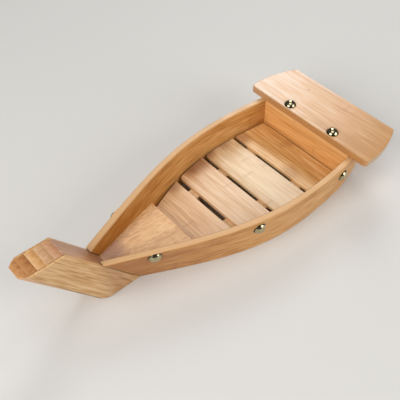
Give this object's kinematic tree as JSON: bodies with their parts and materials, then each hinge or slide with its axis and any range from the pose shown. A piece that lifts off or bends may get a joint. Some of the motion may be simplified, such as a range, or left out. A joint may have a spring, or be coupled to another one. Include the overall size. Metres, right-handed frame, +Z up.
{
  "type": "sushi boat",
  "caption": "Bamboo serving boat with bent flared planks, a raked laminated stem, a bow deck, a stern deck held by dome-head tacks and a slat floor that lifts out.",
  "frame": {"origin": "on the plane the boat rests on, under the middle of its length and on its centre line", "axes": "+X from the bow to the stern, +Y to starboard, +Z up"},
  "size_m": [0.35, 0.1406, 0.08],
  "materials": {
    "stem_orange": "clear lacquer, satin",
    "stem_brown": "clear lacquer, satin",
    "stem_gold": "clear lacquer, satin",
    "stem_beige": "clear lacquer, satin",
    "stem_rose": "clear lacquer, satin",
    "stem_cheek_bamboo": "clear lacquer, satin",
    "plank_bamboo": "clear lacquer, satin",
    "transom_bamboo": "clear lacquer, satin",
    "deck_bamboo": "clear lacquer, satin",
    "bow_deck_bamboo": "clear lacquer, satin",
    "slat_bamboo": "clear lacquer, satin",
    "under_bamboo": "clear lacquer, satin",
    "tack_metal": "polished"
  },
  "bodies": {
    "hull": {"stem_ply_1": "stem_orange", "stem_ply_2": "stem_brown", "stem_ply_3": "stem_gold", "stem_ply_4": "stem_beige", "stem_ply_5": "stem_rose", "stem_cheek_port": "stem_cheek_bamboo", "stem_cheek_starboard": "stem_cheek_bamboo", "plank_port": "plank_bamboo", "plank_starboard": "plank_bamboo", "transom": "transom_bamboo", "stern_deck": "deck_bamboo", "bow_deck": "bow_deck_bamboo", "bow_bearer": "under_bamboo", "stern_bearer": "under_bamboo", "deck_tacks": "tack_metal", "port_tacks": "tack_metal", "starboard_tacks": "tack_metal"},
    "floor": {"slat_1": "slat_bamboo", "slat_2": "slat_bamboo", "slat_3": "slat_bamboo", "slat_4": "slat_bamboo", "runner_port": "under_bamboo", "runner_starboard": "under_bamboo"}
  },
  "joints": [
    {"name": "floor_lift", "type": "slide", "parent": "hull", "child": "floor", "axis": [0, 0, 1], "range_m": [0, 0.06]}
  ]
}
